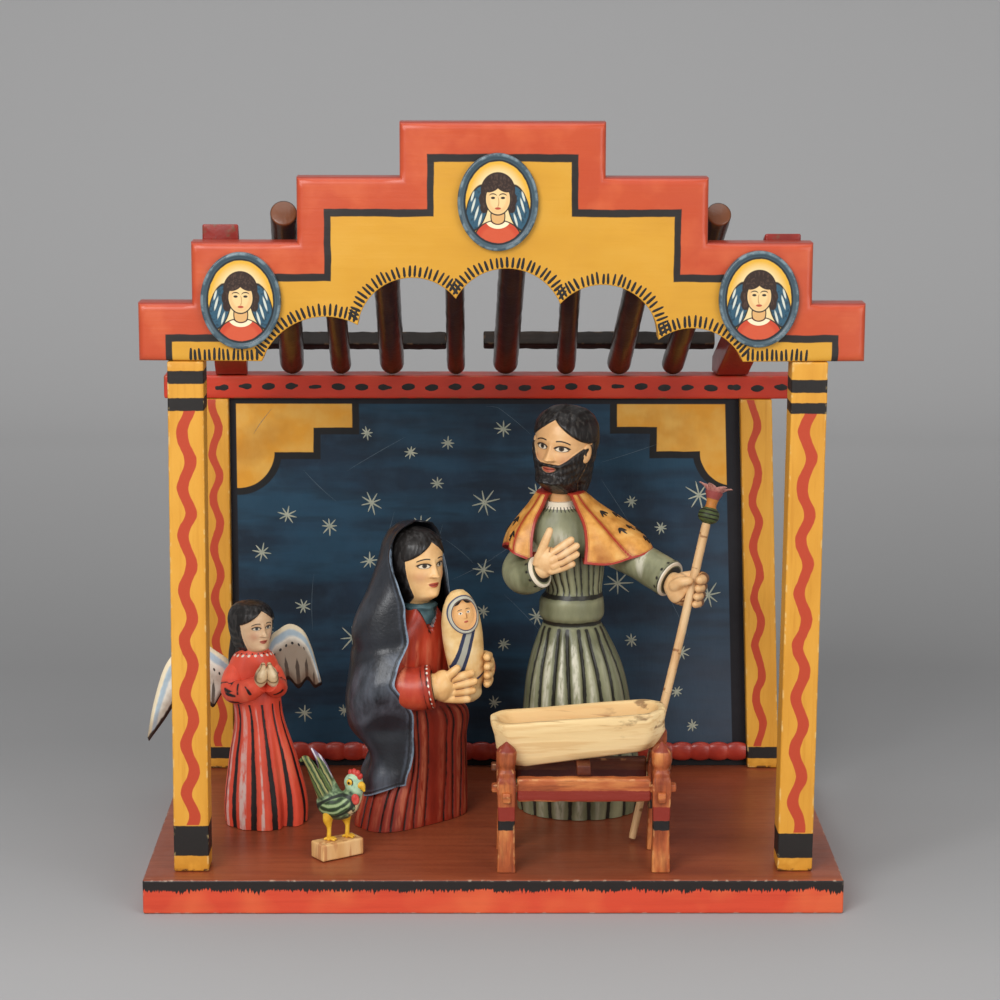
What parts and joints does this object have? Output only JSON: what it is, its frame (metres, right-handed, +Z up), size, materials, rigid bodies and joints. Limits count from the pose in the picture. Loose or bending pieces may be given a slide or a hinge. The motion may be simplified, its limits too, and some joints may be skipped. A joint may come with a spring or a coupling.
{
  "type": "nativity nicho",
  "caption": "Painted wooden stage house with a stepped pediment and pole roof, holding loose carved nativity figures, a rooster and a manger.",
  "frame": {"origin": "middle of the base board's underside", "axes": "+X to the right seen from the front, +Y from the open front to the painted back panel, +Z up"},
  "size_m": [0.5208, 0.322, 0.5599],
  "materials": {
    "base_paint": "red-brown stain and varnish, red front edge with black strokes",
    "ochre_paint": "ochre paint with red and black bands",
    "red_paint": "brush-painted red with ochre field and black lines",
    "medallion_paint": "painted ovals with a blue-grey rim",
    "panel_paint": "dark blue paint with pale stars and ochre corners",
    "dark_log": "dark stained and varnished sticks",
    "bare_wood": "unpainted pale wood",
    "olive_paint": "olive green paint, satin",
    "orange_paint": "orange paint with red edges and small black marks",
    "flesh_paint": "flesh-coloured paint with dark hair, satin",
    "robe_red": "red paint with dark fold lines",
    "mantle_paint": "blue-black paint with a light blue edge",
    "swaddle_paint": "cream paint with blue bands",
    "wing_paint": "white, blue and brown feather paint",
    "staff_wood": "peeled twig with a painted tip",
    "rooster_paint": "green, red and yellow paint",
    "manger_paint": "red-brown stain with dark bands"
  },
  "bodies": {
    "housing": {"base_board": "base_paint", "front_left_post": "ochre_paint", "front_right_post": "ochre_paint", "rear_left_post": "ochre_paint", "rear_right_post": "ochre_paint", "front_left_dowel": "bare_wood", "front_right_dowel": "bare_wood", "rear_left_dowel": "bare_wood", "rear_right_dowel": "bare_wood", "pediment": "red_paint", "left_medallion": "medallion_paint", "middle_medallion": "medallion_paint", "right_medallion": "medallion_paint", "rear_beam": "red_paint", "back_panel": "panel_paint", "bead_rail": "red_paint", "left_rafter": "red_paint", "right_rafter": "red_paint", "roof_log_1": "dark_log", "roof_log_2": "dark_log", "roof_log_3": "dark_log", "roof_log_4": "dark_log", "roof_log_5": "dark_log", "roof_log_6": "dark_log", "roof_log_7": "dark_log", "roof_log_8": "dark_log", "left_lath": "dark_log", "right_lath": "dark_log"},
    "father": {"father_robe": "olive_paint", "father_head": "flesh_paint", "father_cape": "orange_paint", "father_right_arm": "olive_paint", "father_left_arm": "olive_paint"},
    "staff": {"staff": "staff_wood", "staff_flower": "staff_wood"},
    "mother": {"mother_robe": "robe_red", "mother_head": "flesh_paint", "mother_mantle": "mantle_paint", "mother_right_arm": "robe_red", "mother_left_arm": "robe_red"},
    "child": {"child": "swaddle_paint"},
    "angel": {"angel_robe": "robe_red", "angel_head": "flesh_paint", "angel_arms": "robe_red", "angel_right_wing": "wing_paint", "angel_left_wing": "wing_paint"},
    "rooster": {"rooster_block": "bare_wood", "rooster_body": "rooster_paint", "rooster_left_leg": "rooster_paint", "rooster_right_leg": "rooster_paint"},
    "manger": {"manger_front_left_leg": "manger_paint", "manger_front_right_leg": "manger_paint", "manger_rear_left_leg": "manger_paint", "manger_rear_right_leg": "manger_paint", "manger_front_rail": "manger_paint", "manger_rear_rail": "manger_paint", "manger_left_rail": "manger_paint", "manger_right_rail": "manger_paint", "manger_slat": "manger_paint"},
    "trough": {"trough": "bare_wood"}
  },
  "joints": [
    {"name": "father_lift", "type": "slide", "parent": "housing", "child": "father", "axis": [0, 0, 1], "range_m": [0, 0.05]},
    {"name": "staff_draw", "type": "slide", "parent": "father", "child": "staff", "axis": [0.2331, 0.2157, 0.9482], "range_m": [0, 0.05]},
    {"name": "mother_lift", "type": "slide", "parent": "housing", "child": "mother", "axis": [0, 0, 1], "range_m": [0, 0.1]},
    {"name": "child_lift", "type": "slide", "parent": "mother", "child": "child", "axis": [0, 0, 1], "range_m": [0, 0.045]},
    {"name": "angel_lift", "type": "slide", "parent": "housing", "child": "angel", "axis": [0, 0, 1], "range_m": [0, 0.12]},
    {"name": "rooster_lift", "type": "slide", "parent": "housing", "child": "rooster", "axis": [0, 0, 1], "range_m": [0, 0.12]},
    {"name": "manger_lift", "type": "slide", "parent": "housing", "child": "manger", "axis": [0, 0, 1], "range_m": [0, 0.1]},
    {"name": "trough_lift", "type": "slide", "parent": "manger", "child": "trough", "axis": [0, 0, 1], "range_m": [0, 0.06]}
  ]
}
